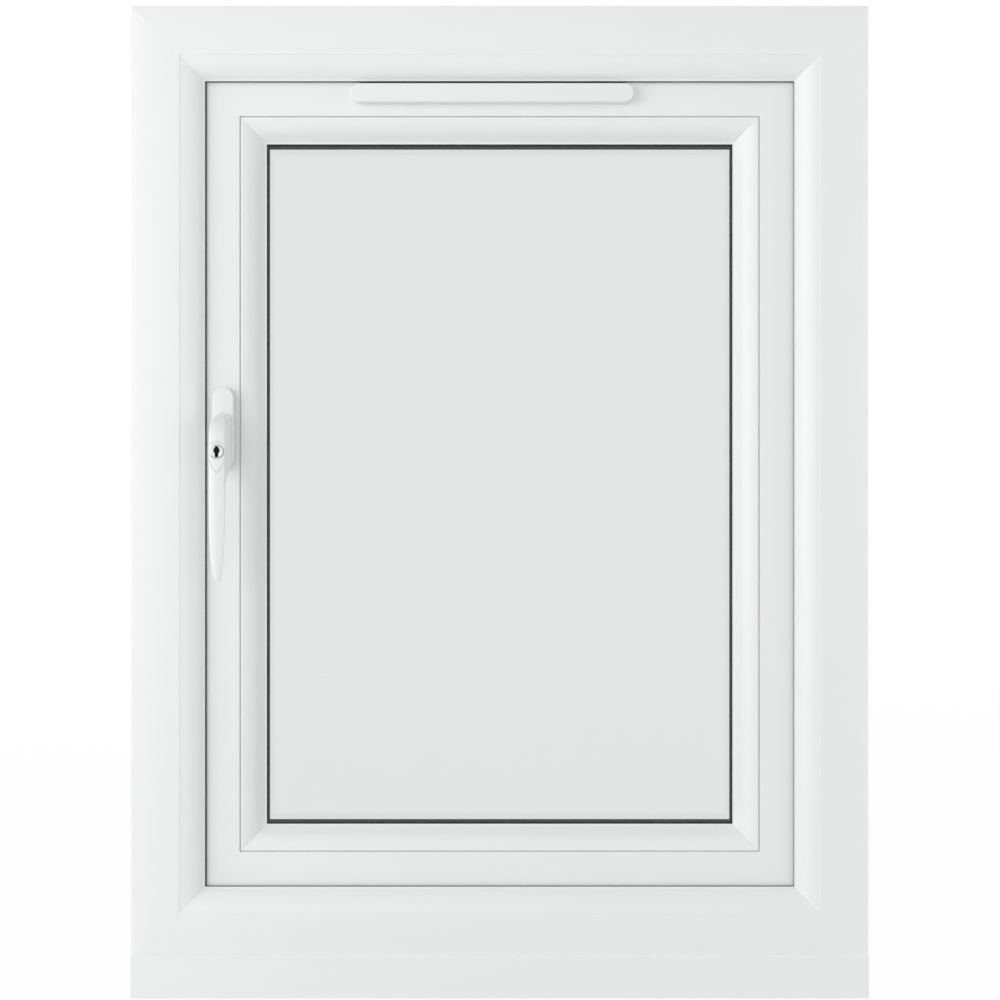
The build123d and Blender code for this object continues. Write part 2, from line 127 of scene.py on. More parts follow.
def mitred_bar_tree():
    """Geometry nodes that pull a section into a bar whose ends are cut along a mitre.

    The section lies at X = 0 and is pulled 1 m along X. Each end is then set to its own
    length, less its mitre and the gap in the corner.
    """
    weld_distance, halfway = 1e-6, 0.5
    tree = bpy.data.node_groups.new("mitred_bar", "GeometryNodeTree")
    face = tree.interface
    face.new_socket("Section", in_out="INPUT", socket_type="NodeSocketGeometry")
    for label in ("Half Length", "Mitre", "Corner Gap"):
        face.new_socket(label, in_out="INPUT", socket_type="NodeSocketFloat")
    face.new_socket("Material", in_out="INPUT", socket_type="NodeSocketMaterial")
    face.new_socket("Bar", in_out="OUTPUT", socket_type="NodeSocketGeometry")
    link = tree.links.new
    entry, leave = tree.nodes.new("NodeGroupInput"), tree.nodes.new("NodeGroupOutput")
    pull = tree.nodes.new("GeometryNodeExtrudeMesh")
    pull.inputs["Individual"].default_value = False
    pull.inputs["Offset Scale"].default_value = 1.0
    link(entry.outputs["Section"], pull.inputs["Mesh"])
    near_end = tree.nodes.new("GeometryNodeFlipFaces")
    link(entry.outputs["Section"], near_end.inputs["Mesh"])
    both = tree.nodes.new("GeometryNodeJoinGeometry")
    link(pull.outputs["Mesh"], both.inputs["Geometry"])
    link(near_end.outputs["Mesh"], both.inputs["Geometry"])
    weld = tree.nodes.new("GeometryNodeMergeByDistance")
    weld.inputs["Distance"].default_value = weld_distance
    link(both.outputs["Geometry"], weld.inputs["Geometry"])

    def number(operation, *values):
        node = tree.nodes.new("ShaderNodeMath")
        node.operation = operation
        for socket, value in zip(node.inputs, values):
            if isinstance(value, (int, float)):
                socket.default_value = value
            else:
                link(value, socket)
        return node.outputs[0]

    place = tree.nodes.new("GeometryNodeInputPosition")
    parts = tree.nodes.new("ShaderNodeSeparateXYZ")
    link(place.outputs[0], parts.inputs[0])
    far_end = number("GREATER_THAN", parts.outputs["X"], halfway)
    sign = number("SUBTRACT", number("MULTIPLY", far_end, 2.0), 1.0)
    cut_back = number("ADD", number("MULTIPLY", parts.outputs["Z"], entry.outputs["Mitre"]),
                      entry.outputs["Corner Gap"])
    along = number("MULTIPLY", sign, number("SUBTRACT", entry.outputs["Half Length"], cut_back))
    spot = tree.nodes.new("ShaderNodeCombineXYZ")
    link(along, spot.inputs["X"])
    link(parts.outputs["Y"], spot.inputs["Y"])
    link(parts.outputs["Z"], spot.inputs["Z"])
    move = tree.nodes.new("GeometryNodeSetPosition")
    link(weld.outputs["Geometry"], move.inputs["Geometry"])
    link(spot.outputs[0], move.inputs["Position"])
    real = tree.nodes.new("GeometryNodeRealizeInstances")
    link(move.outputs["Geometry"], real.inputs["Geometry"])
    coat = tree.nodes.new("GeometryNodeSetMaterial")
    link(real.outputs["Geometry"], coat.inputs["Geometry"])
    link(entry.outputs["Material"], coat.inputs["Material"])
    link(coat.outputs["Geometry"], leave.inputs["Bar"])
    return tree


bar_tree = mitred_bar_tree()


def set_input(modifier, label, value):
    """Sets a modifier's input by the identifier of the socket with this label."""
    for item in modifier.node_group.interface.items_tree:
        if item.in_out == "INPUT" and item.name == label:
            modifier[item.identifier] = value


def show(name, mesh, material, sharp=32):
    """Object of a finished mesh, smooth except across sharp edges."""
    for face in mesh.polygons:
        face.use_smooth = True
    mesh.set_sharp_from_angle(angle=radians(sharp))
    if not mesh.materials:
        mesh.materials.append(material)
    piece = bpy.data.objects.new(name, mesh)
    bpy.context.scene.collection.objects.link(piece)
    return piece


def bar_mesh(name, outline, half_length, material, mitre=1.0, gap=0.0):
    """Bar along X of an outline given as (height, depth) in millimetres."""
    area = sum(a[1] * b[0] - b[1] * a[0] for a, b in zip(outline, outline[1:] + outline[:1]))
    points = outline if area > 0 else outline[::-1]
    section = bpy.data.meshes.new(name)
    section.from_pydata([(0, d * MM, u * MM) for u, d in points], [], [range(len(points))])
    blank = bpy.data.objects.new(name, section)
    bpy.context.scene.collection.objects.link(blank)
    modifier = blank.modifiers.new("bar", "NODES")
    modifier.node_group = bar_tree
    for label, value in (("Half Length", half_length * MM), ("Mitre", mitre),
                         ("Corner Gap", gap * MM), ("Material", material)):
        set_input(modifier, label, value)
    mesh = bpy.data.meshes.new_from_object(blank.evaluated_get(bpy.context.evaluated_depsgraph_get()))
    bpy.data.objects.remove(blank)
    return mesh


def side_bar(name, outline, side, material, gap=0.0):
    """Mitred bar on one side of the window; the outline's heights run in from its edge."""
    upright = side in ("left", "right")
    length, across = (frame_height, frame_width) if upright else (frame_width, frame_height)
    mesh = bar_mesh(name, outline, length / 2, material, 1.0, gap)
    turn = {"bottom": 0, "left": 90, "top": 180, "right": -90}[side]
    mesh.transform(Matrix.Translation((0, room_face * MM, frame_middle * MM))
                   @ Matrix.Rotation(radians(turn), 4, "Y")
                   @ Matrix.Translation((0, 0, -across / 2 * MM)))
    return show(name, mesh, material)


def surface_group():
    """Shader group for a moulded or sprayed skin: slow drift of colour and gloss, fine grain."""
    tree = bpy.data.node_groups.new("fine_skin", "ShaderNodeTree")
    face = tree.interface
    for label in ("Light Colour", "Dark Colour"):
        face.new_socket(label, in_out="INPUT", socket_type="NodeSocketColor")
    for label in ("Patch Size", "Grain Size", "Smooth", "Rough"):
        face.new_socket(label, in_out="INPUT", socket_type="NodeSocketFloat")
    face.new_socket("Colour", in_out="OUTPUT", socket_type="NodeSocketColor")
    face.new_socket("Roughness", in_out="OUTPUT", socket_type="NodeSocketFloat")
    face.new_socket("Height", in_out="OUTPUT", socket_type="NodeSocketFloat")
    link = tree.links.new
    entry, leave = tree.nodes.new("NodeGroupInput"), tree.nodes.new("NodeGroupOutput")
    place = tree.nodes.new("ShaderNodeTexCoord")

    def noise(size_socket, detail):
        node = tree.nodes.new("ShaderNodeTexNoise")
        inverse = tree.nodes.new("ShaderNodeMath")
        inverse.operation = "DIVIDE"
        inverse.inputs[0].default_value = 1.0
        link(size_socket, inverse.inputs[1])
        link(place.outputs["Object"], node.inputs["Vector"])
        link(inverse.outputs[0], node.inputs["Scale"])
        node.inputs["Detail"].default_value = detail
        return node.outputs["Fac"]

    patches = noise(entry.outputs["Patch Size"], 3.0)
    grain = noise(entry.outputs["Grain Size"], 2.0)
    mix = tree.nodes.new("ShaderNodeMix")
    mix.data_type = "RGBA"
    link(patches, mix.inputs["Factor"])
    link(entry.outputs["Light Colour"], mix.inputs["A"])
    link(entry.outputs["Dark Colour"], mix.inputs["B"])
    link(mix.outputs["Result"], leave.inputs["Colour"])
    gloss = tree.nodes.new("ShaderNodeMapRange")
    link(patches, gloss.inputs["Value"])
    link(entry.outputs["Smooth"], gloss.inputs["To Min"])
    link(entry.outputs["Rough"], gloss.inputs["To Max"])
    link(gloss.outputs["Result"], leave.inputs["Roughness"])
    link(grain, leave.inputs["Height"])
    return tree


fine_skin = surface_group()
grain_height = 0.1


def skin_material(name, light, dark, patch, grain, smooth, rough, bump, metallic=0.0):
    """Principled material whose colour, roughness and texture come from the skin group."""
    material = bpy.data.materials.new(name)
    material.use_nodes = True
    nodes, link = material.node_tree.nodes, material.node_tree.links.new
    shader = nodes["Principled BSDF"]
    skin = nodes.new("ShaderNodeGroup")
    skin.node_tree = fine_skin
    skin.inputs["Light Colour"].default_value = (*light, 1)
    skin.inputs["Dark Colour"].default_value = (*dark, 1)
    skin.inputs["Patch Size"].default_value = patch * MM
    skin.inputs["Grain Size"].default_value = grain * MM
    skin.inputs["Smooth"].default_value = smooth
    skin.inputs["Rough"].default_value = rough
    raise_grain = nodes.new("ShaderNodeBump")
    raise_grain.inputs["Strength"].default_value = bump
    raise_grain.inputs["Distance"].default_value = grain_height * MM
    link(skin.outputs["Colour"], shader.inputs["Base Color"])
    link(skin.outputs["Roughness"], shader.inputs["Roughness"])
    link(skin.outputs["Height"], raise_grain.inputs["Height"])
    link(raise_grain.outputs["Normal"], shader.inputs["Normal"])
    shader.inputs["Metallic"].default_value = metallic
    return material


profile_white = skin_material(
    "profile_white", (0.895, 0.903, 0.899), (0.884, 0.893, 0.889),
    patch=90, grain=1.2, smooth=0.30, rough=0.40, bump=0.10)

groove_points = [point for back, front in trim_grooves for point in (
    (0, back, fine_round), (trim_groove_deep, back, 0), (trim_groove_deep, front, 0),
    (0, front, fine_round))]
frame_outline = rounded([
    (0, 0, big_round), (frame_flat, 0, step_round), (frame_flat, moulding_step, step_foot),
    *moulding((frame_flat, moulding_step), (frame_face - lip_width, lip_depth), frame_slope),
    (frame_face - lip_width, lip_depth, small_round), (lip_edge, lip_depth, lip_round),
    (lip_edge, upstand_back, fine_round), (rebate_floor, upstand_back, inner_round),
    (rebate_floor, frame_depth - rebate_chamfer_deep, inner_round),
    (rebate_floor - rebate_chamfer_high, frame_depth, inner_round),
    (0, frame_depth, big_round), *groove_points,
])
for node, side in (("frame_head", "top"), ("frame_bottom_rail", "bottom"),
                   ("frame_lock_jamb", "left"), ("frame_hinge_jamb", "right")):
    bar = side_bar(node + "_skin", frame_outline, side, profile_white)
    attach(bar, "window")
    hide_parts(node)

# Opening sash
# The same white profile as a smaller welded ring, set back behind the frame's lip, with a
# flange that laps over the frame outside and a seat for the glass.

sash_recess, sash_back, sash_edge = 18.0, 88.0, 60.0
flange_edge, flange_depth, flange_round = 40.0, 73.0, 1.2
bead_line, leg_edge, leg_front, leg_top, leg_round = 100.45, 120.5, 66.0, 73.5, 0.6
clip_near, clip_far, clip_deep = 27.0, 31.0, 3.5
lock_groove_near, lock_groove_far, lock_groove_floor = 41.0, 57.0, sash_edge + 3
exterior_flat, exterior_step = 99.5, sash_back - moulding_step
leg_curve = moulding((exterior_flat, exterior_step), (leg_edge - lip_width, leg_top), frame_slope)
sash_outline = rounded([
    (sash_edge, sash_recess, inner_round), (bead_line, sash_recess, small_round),
    (bead_line, clip_near, 0), (bead_line - clip_deep, clip_near, 0),
    (bead_line - clip_deep, clip_far, 0), (bead_line, clip_far, 0),
    (bead_line, leg_front, inner_round), (leg_edge, leg_front, inner_round),
    (leg_edge, leg_top, leg_round), (leg_edge - lip_width, leg_top, inner_round), *leg_curve[::-1],
    (exterior_flat, exterior_step, step_foot), (exterior_flat, sash_back, step_round),
    (flange_edge, sash_back, flange_round), (flange_edge, flange_depth, inner_round),
    (sash_edge, flange_depth, inner_round), (sash_edge, lock_groove_far, fine_round),
    (lock_groove_floor, lock_groove_far, 0), (lock_groove_floor, lock_groove_near, 0),
    (sash_edge, lock_groove_near, fine_round),
])
for node, side in (("sash_top_rail", "top"), ("sash_bottom_rail", "bottom"),
                   ("sash_lock_stile", "left"), ("sash_hinge_stile", "right")):
    bar = side_bar(node + "_skin", sash_outline, side, profile_white)
    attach(bar, "window")
    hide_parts(node)

# Glazing beads
# Four lengths of moulded plastic that snap into the sash and hold the glass from the room
# side. They are loose pieces, cut at 45 degrees, so a hairline shows at each corner.

bead_nose, bead_tip, bead_back, bead_edge = 124.6, 32.0, 33.4, 101.5
bead_front, bead_flat, bead_shoulder, bead_slope = sash_recess + 0.3, 0.5, 20.8, 47
clip_play, bead_mitre_gap = 0.3, 0.04
hook_edge = bead_line - clip_deep + clip_play
bead_outline = rounded([
    (bead_line, bead_back, 0), (bead_line, clip_far - clip_play, 0),
    (hook_edge, clip_far - clip_play, 0), (hook_edge, clip_near + clip_play, 0),
    (bead_line, clip_near + clip_play, 0), (bead_line, bead_shoulder, 0),
    (bead_edge, bead_shoulder, 0), (bead_edge, bead_front, big_round),
    *moulding((bead_edge + bead_flat, bead_front), (bead_nose - lip_width, bead_tip), bead_slope),
    (bead_nose - lip_width, bead_tip, small_round), (bead_nose, bead_tip, small_round),
    (bead_nose, bead_back, fine_round),
])
for node, side in (("bead_top", "top"), ("bead_bottom", "bottom"),
                   ("bead_lock_side", "left"), ("bead_hinge_side", "right")):
    bar = side_bar(node + "_skin", bead_outline, side, profile_white, bead_mitre_gap)
    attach(bar, "window")
    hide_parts(node)

# Sealed glass unit
# Two 4 mm panes of clear glass held 20 mm apart by a dark spacer bar, with a black sealant
# round the edge. The panes are a little grey through their thickness, unevenly so, and
# carry the faintest haze.


def glass_material():
    """Clear glass whose tint and haze drift a little over the pane."""
    material = bpy.data.materials.new("clear_glass")
    material.use_nodes = True
    nodes, link = material.node_tree.nodes, material.node_tree.links.new
    shader = nodes["Principled BSDF"]
    shader.inputs["Transmission Weight"].default_value = 1.0
    shader.inputs["IOR"].default_value = 1.5
    place = nodes.new("ShaderNodeTexCoord")
    drift = nodes.new("ShaderNodeTexNoise")
    drift.inputs["Scale"].default_value = 3.0
    link(place.outputs["Object"], drift.inputs["Vector"])
    tint = nodes.new("ShaderNodeMix")
    tint.data_type = "RGBA"
    tint.inputs["A"].default_value = (0.880, 0.886, 0.883, 1)
    tint.inputs["B"].default_value = (0.874, 0.880, 0.877, 1)
    link(drift.outputs["Fac"], tint.inputs["Factor"])
    link(tint.outputs["Result"], shader.inputs["Base Color"])
    haze = nodes.new("ShaderNodeMapRange")
    haze.inputs["To Min"].default_value = 0.0
    haze.inputs["To Max"].default_value = 0.012
    link(drift.outputs["Fac"], haze.inputs["Value"])
    link(haze.outputs["Result"], shader.inputs["Roughness"])
    return material


def dress(node, material):
    """Gives a carried-over node its finish."""
    mesh = frame["nodes"][node].data
    mesh.materials.clear()
    mesh.materials.append(material)


clear_glass = glass_material()
spacer_grey = skin_material("spacer_grey", (0.13, 0.14, 0.145), (0.10, 0.11, 0.115),
                            patch=20, grain=0.8, smooth=0.35, rough=0.5, bump=0.2)
edge_sealant = skin_material("edge_sealant", (0.012, 0.012, 0.013), (0.02, 0.02, 0.021),
                             patch=12, grain=2.0, smooth=0.5, rough=0.7, bump=0.5)
packer_blue = skin_material("packer_blue", (0.05, 0.09, 0.22), (0.04, 0.08, 0.19),
                            patch=20, grain=1.0, smooth=0.4, rough=0.55, bump=0.2)
for node, material in (("glass_inner_pane", clear_glass), ("glass_outer_pane", clear_glass),
                       ("glass_spacer", spacer_grey), ("glass_edge_seal", edge_sealant),
                       ("glass_packer_left", packer_blue), ("glass_packer_right", packer_blue)):
    dress(node, material)

# Gaskets and seals
# Dark grey rubber strips: between bead and glass, between glass and sash, and between
# sash and frame on both sides. They are soft and matt. The seal on the room side stands
# out past the frame's lip most on the handle side, less at the top and bottom and least on
# the hinge side; this uneven dark edge is painted shade of the lip's shadow on the sash.

gasket_rubber = skin_material("gasket_rubber", (0.026, 0.036, 0.041), (0.035, 0.046, 0.051),
                              patch=25, grain=0.6, smooth=0.55, rough=0.7, bump=0.06)
dress("sash_seal", gasket_rubber)


def closed_mesh(name, verts, faces):
    """Mesh of a closed skin, with its faces turned outwards."""
    mesh = bpy.data.meshes.new(name)
    mesh.from_pydata(verts, [], faces)
    work = bmesh.new()
    work.from_mesh(mesh)
    bmesh.ops.recalc_face_normals(work, faces=work.faces)
    work.to_mesh(mesh)
    work.free()
    return mesh


def strip_ring(name, sections, material):
    """Closed ring of one strip whose section (height, depth) may differ from side to side."""
    half_width, half_height = frame_width / 2, frame_height / 2
    count = len(sections["left"])
    verts, faces = [], []
    for across, up in (("left", "bottom"), ("right", "bottom"), ("right", "top"), ("left", "top")):
        for (from_side, depth), (from_end, _) in zip(sections[across], sections[up]):
            x = (half_width - from_side) * (-1 if across == "left" else 1)
            z = frame_middle + (half_height - from_end) * (-1 if up == "bottom" else 1)
            verts.append((x * MM, (room_face + depth) * MM, z * MM))
    for corner in range(4):
        a, b = corner * count, (corner + 1) % 4 * count
        for index in range(count):
            after = (index + 1) % count
            faces.append((a + index, a + after, b + after, b + index))
    return show(name, closed_mesh(name, verts, faces), material, sharp=50)


# How far the dark seal stands out past the lip on each side: painted shade, widest where the lip's
# shadow falls.
seal_shows = {"left": 1.1, "top": 0.55, "bottom": 0.3, "right": 0.05}
seal_foot = 60.8
# Round the strip: distance in from the frame's outer edge, depth behind the room face.
seal_sections = {}
for side, out in seal_shows.items():
    tip = frame_face + out
    seal_sections[side] = [
        (seal_foot, upstand_back), (tip - 0.4, upstand_back), (tip - 0.1, upstand_back + 0.3),
        (tip, upstand_back + 0.7), (tip - 0.3, sash_recess - 0.8), (tip - 1.2, sash_recess),
        (seal_foot, sash_recess)]
seal = strip_ring("frame_seal_skin", seal_sections, gasket_rubber)
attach(seal, "window")
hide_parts("frame_seal")

pane_front, pane_back = 35.0, 63.0
front_root, front_tip = 115.0, 125.1
front_strip = [(front_root, bead_back), (front_tip - 0.5, bead_back),
               (front_tip - 0.1, bead_back + 0.3), (front_tip, bead_back + 0.8),
               (front_tip - 0.1, pane_front), (front_root, pane_front)]
back_root, back_tip = 112.5, 123.9
back_strip = [(back_root, pane_back), (back_tip - 0.1, pane_back), (back_tip, pane_back + 0.6),
              (back_tip - 0.4, pane_back + 1.5), (leg_edge + 0.6, leg_front),
              (back_root, leg_front)]
for node, section in (("bead_gasket", front_strip), ("glazing_gasket", back_strip)):
    gasket = strip_ring(node + "_skin", {side: section for side in seal_shows}, gasket_rubber)
    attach(gasket, "window")
    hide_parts(node)

# Cill
# A hollow white extrusion under the frame, the full width of the window. Its inner edge
# stands up in front of the frame, and outside it slopes to a rounded nose. Plastic caps
# close the two ends of the outside part.

cill_low, cill_high = in_mm(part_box("cill"))
cap_low, cap_high = in_mm(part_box("cill_end_cap_left"))
cap_thick = cap_high.x - cap_low.x
cill_short, upstand_round, cill_round = 0.35, 1.1, 0.6
cill_half = frame_width / 2 - cill_short
cill_top, under_frame = cill_high.z, frame_middle - frame_height / 2
frame_back = room_face + frame_depth
shoulder_drop, shoulder_out = 2, 3
nose_y, nose_top, nose_round, nose_foot = cill_high.y, 19.0, 2.5, 1.0
nose_rise, nose_run, nose_fall = 3, 4, 1
drip_near, drip_far, drip_deep = nose_y - 7, nose_y - 13, 5
inside_part = rounded([
    (0, cill_low.y, inner_round), (cill_top, cill_low.y, upstand_round), (cill_top, room_face, 0),
    (under_frame, room_face, 0), (under_frame, frame_back, 0), (0, frame_back, 0),
])
outside_part = rounded([
    (0, frame_back, 0), (under_frame, frame_back, cill_round),
    (under_frame - shoulder_drop, frame_back + shoulder_out, cill_round),
    (nose_top + nose_rise, nose_y - nose_run, nose_round),
    (nose_top - nose_fall, nose_y, nose_round), (0, nose_y, nose_foot),
    (0, drip_near, cill_round), (drip_deep, drip_near, 0), (drip_deep, drip_far, 0),
    (0, drip_far, cill_round),
])


def joined(name, meshes, material):
    """One piece made of several meshes."""
    whole = bmesh.new()
    for mesh in meshes:
        whole.from_mesh(mesh)
    mesh = bpy.data.meshes.new(name)
    whole.to_mesh(mesh)
    whole.free()
    return show(name, mesh, material)


cill = joined("cill_skin", [
    bar_mesh("inside", inside_part, cill_half, profile_white, mitre=0.0),
    bar_mesh("outside", outside_part, cill_half - cap_thick, profile_white, mitre=0.0),
], profile_white)
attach(cill, "window")
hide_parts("cill")

trim_white = skin_material(
    "trim_white", (0.884, 0.897, 0.890), (0.872, 0.887, 0.880),
    patch=30, grain=0.9, smooth=0.36, rough=0.46, bump=0.14)
for name, place in (("left", cap_thick / 2 - cill_half), ("right", cill_half - cap_thick / 2)):
    mesh = bar_mesh("cap_" + name, outside_part, cap_thick / 2, trim_white, mitre=0.0)
    mesh.transform(Matrix.Translation((place * MM, 0, 0)))
    cap = show("cill_cap_" + name, mesh, trim_white)
    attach(cap, "window")
    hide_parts("cill_end_cap_" + name)

# Drainage covers
# Small hoods of white plastic, clipped over the drainage slots at the foot of the frame
# outside, so that wind can't blow the water back in.

for name in ("left", "right"):
    dress("drain_cover_" + name, trim_white)

# Trickle vent
# A slim plastic cover on the sash's top rail inside, over two routed slots, and a hood
# over the same slots outside. The cover has round ends. A thin black strip fills the gap
# between it and the frame: painted shadow of that deep, narrow gap.

vent_low, vent_high = in_mm(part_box("vent_cover"))
vent_edge, vent_foot, vent_over, vent_under = 1.0, 0.6, 0.5, 0.35
corner_steps = 4


def stadium_ring(length, height, x, z, y, steps=24, radius=None):
    """Points round a bar's outline, with half-round ends unless a corner radius is given."""
    radius = radius or min(length, height) / 2
    half_x, half_z = length / 2 - radius, height / 2 - radius
    points = []
    for index in range(4 * steps):
        angle = 2 * pi * (index + 0.5) / (4 * steps)
        points.append((x + (half_x if cos(angle) > 0 else -half_x) + radius * cos(angle),
                       y, z + (half_z if sin(angle) > 0 else -half_z) + radius * sin(angle)))
    return points


def loft_mesh(name, rings):
    """Closed skin through rings with the same number of points, flat at both ends."""
    count = len(rings[0])
    verts = [tuple(value * MM for value in point) for ring in rings for point in ring]
    faces = []
    for level in range(len(rings) - 1):
        for index in range(count):
            after = (index + 1) % count
            a, b = level * count, (level + 1) * count
            faces.append((a + index, a + after, b + after, b + index))
    faces.append(tuple(reversed(range(count))))
    faces.append(tuple((len(rings) - 1) * count + index for index in range(count)))
    return closed_mesh(name, verts, faces)


def slab_rings(length, height, x, z, back, front, edge, foot, segments=6):
    """Rings of a stadium slab with a rounded front edge and a fine recess round its foot."""
    rings = [stadium_ring(length - 2 * foot, height - 2 * foot, x, z, y) for y in (back, back - foot)]
    rings.append(stadium_ring(length, height, x, z, back - foot))
    for step in range(segments + 1):
        angle = pi / 2 * step / segments
        inset = edge * (1 - cos(angle))
        rings.append(stadium_ring(length - 2 * inset, height - 2 * inset, x, z,
                                  front + edge - edge * sin(angle)))
    return rings


vent_top, vent_bottom = vent_high.z + vent_over, vent_low.z - vent_under
vent_middle = (vent_low + vent_high) / 2
vent = show("vent_cover_skin", loft_mesh("vent", slab_rings(
    vent_high.x - vent_low.x, vent_top - vent_bottom, vent_middle.x, (vent_top + vent_bottom) / 2,
    vent_high.y, vent_low.y, vent_edge, vent_foot)), trim_white)
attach(vent, "window")
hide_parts("vent_cover")
dress("vent_canopy", trim_white)

# Black strip under the frame's lip along the cover: painted shadow of the deep gap between the cover
# and the lip.
gap_shadow_black = skin_material("gap_shadow_black", (0.012, 0.013, 0.014), (0.020, 0.021, 0.022),
                           patch=6, grain=0.5, smooth=0.70, rough=0.85, bump=0.2)
gap_shadow_clearance, gap_shadow_tuck, gap_shadow_thick, gap_shadow_short, gap_shadow_round = 0.05, 1.5, 0.9, 14, 0.3
gap_shadow_top = head_low.z - seal_shows["top"] - gap_shadow_clearance
gap_shadow_tall, gap_shadow_long = gap_shadow_top - vent_top + gap_shadow_tuck, vent_high.x - vent_low.x - gap_shadow_short
gap_shadow = show("vent_gap_shadow", loft_mesh("gap_shadow", [
    stadium_ring(gap_shadow_long, gap_shadow_tall, vent_middle.x, gap_shadow_top - gap_shadow_tall / 2,
                 vent_high.y - out, corner_steps, gap_shadow_round)
    for out in (0, gap_shadow_thick)]), gap_shadow_black)
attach(gap_shadow, "window")

# Handle plate
# A die-cast plate screwed through the sash into the lock, powder coated white. The lever
# turns on it.

handle_white = skin_material(
    "handle_white", (0.865, 0.878, 0.876), (0.852, 0.866, 0.865),
    patch=25, grain=0.7, smooth=0.20, rough=0.27, bump=0.10)
plate_low, plate_high = in_mm(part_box("handle_plate"))
plate_edge, plate_foot, plate_over = 1.4, 1.5, 0.7
plate_high.z += plate_over
plate_middle = (plate_low + plate_high) / 2
plate = show("handle_plate_skin", loft_mesh("plate", slab_rings(
    plate_high.x - plate_low.x, plate_high.z - plate_low.z, plate_middle.x, plate_middle.z,
    plate_high.y, plate_low.y, plate_edge, plate_foot)), handle_white)
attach(plate, "window")
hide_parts("handle_plate")

# Lever
# A cranked zinc casting, powder coated white. Its root covers most of the plate, the neck
# comes out towards the room, and the grip hangs down and thins to a round tip. Its front
# edges are crisper beside the lock.

hinge = next(joint for joint in frame["joints"] if joint["name"] == "handle_turn")
handle_x, spindle_z = hinge["pos_m"][0] / MM, hinge["pos_m"][2] / MM
sash_face = room_face + sash_recess
lever_out, ring_spacing = 49.2, 1.6
lock_height, lock_reach = -29.0, 16.0
front_round, round_lost, crown_high, front_squeeze = 3.0, 0.9, 0.55, 0.95
back_round, back_round_gain, grip_top, grip_blend = 0.35, 2.0, -42.0, 12.0
# No rounding takes more than these shares of the lever's depth or half width there.
front_depth_share, front_width_share, crown_share = 0.45, 0.62, 0.25
back_depth_share, back_width_share = 0.3, 0.5
back_steps, side_steps, front_steps, crown_steps = 6, 5, 8, 6
# Height from the spindle, out at the back and the front, half widths at the back and front.
lever_stations = [
    (9.2, 11.2, 11.5, 0.9, 0.4), (8.9, 11.2, 12.6, 2.6, 1.4), (7.7, 11.2, 18.0, 4.9, 2.9),
    (5.2, 11.2, 27.0, 7.2, 4.5), (1.0, 11.2, 36.5, 8.35, 6.2), (-4.0, 11.2, 42.5, 8.4, 7.1),
    (-10.0, 11.2, 46.7, 8.4, 7.4), (-16.0, 11.2, 48.5, 8.4, 7.4), (-24.0, 11.2, 49.2, 8.4, 7.4),
    (-33.0, 11.2, 49.2, 8.4, 7.4), (-38.5, 12.6, 49.2, 8.3, 7.4), (-42.0, 15.2, 49.2, 8.3, 7.4),
    (-48.5, 26.0, 49.2, 8.0, 7.4), (-53.5, 33.5, 49.2, 7.6, 7.4), (-60.5, 36.8, 49.2, 7.2, 7.4),
    (-70.5, 37.2, 49.2, 7.1, 7.4), (-90.0, 36.9, 48.8, 6.9, 7.35), (-112.0, 36.3, 47.9, 6.1, 7.05),
    (-130.0, 36.0, 46.8, 5.0, 5.9), (-142.0, 36.4, 45.6, 3.8, 4.6), (-148.0, 37.4, 44.6, 2.5, 3.0),
    (-149.7, 39.0, 43.8, 1.5, 1.8), (-150.0, 40.4, 43.0, 0.5, 0.7),
]


def between(stations, height):
    """Station at a height, on a smooth curve that never overshoots its neighbours."""
    for index in range(len(stations) - 1):
        upper, lower = stations[index], stations[index + 1]
        if lower[0] <= height <= upper[0]:
            break
    span = upper[0] - lower[0]
    part = (upper[0] - height) / span

    def slope(at, column):
        if at <= 0 or at >= len(stations) - 1:
            return None
        before, here, after = stations[at - 1], stations[at], stations[at + 1]
        left = (here[column] - before[column]) / (before[0] - here[0])
        right = (after[column] - here[column]) / (here[0] - after[0])
        return 0.0 if left * right <= 0 else 2 * left * right / (left + right)

    values = []
    for column in range(1, 5):
        straight = (lower[column] - upper[column]) / span
        start, end = slope(index, column), slope(index + 1, column)
        start = straight if start is None else start
        end = straight if end is None else end
        p2, p3 = part * part, part * part * part
        values.append((2 * p3 - 3 * p2 + 1) * upper[column] + (p3 - 2 * p2 + part) * span * start
                      + (3 * p2 - 2 * p3) * lower[column] + (p3 - p2) * span * end)
    return values


def quarter(x, out, wide, deep, start, steps):
    """Points of a quarter of an ellipse round a middle, from a starting angle."""
    angles = [start + pi / 2 * step / steps for step in range(steps + 1)]
    return [(x + wide * cos(angle), out + deep * sin(angle)) for angle in angles]


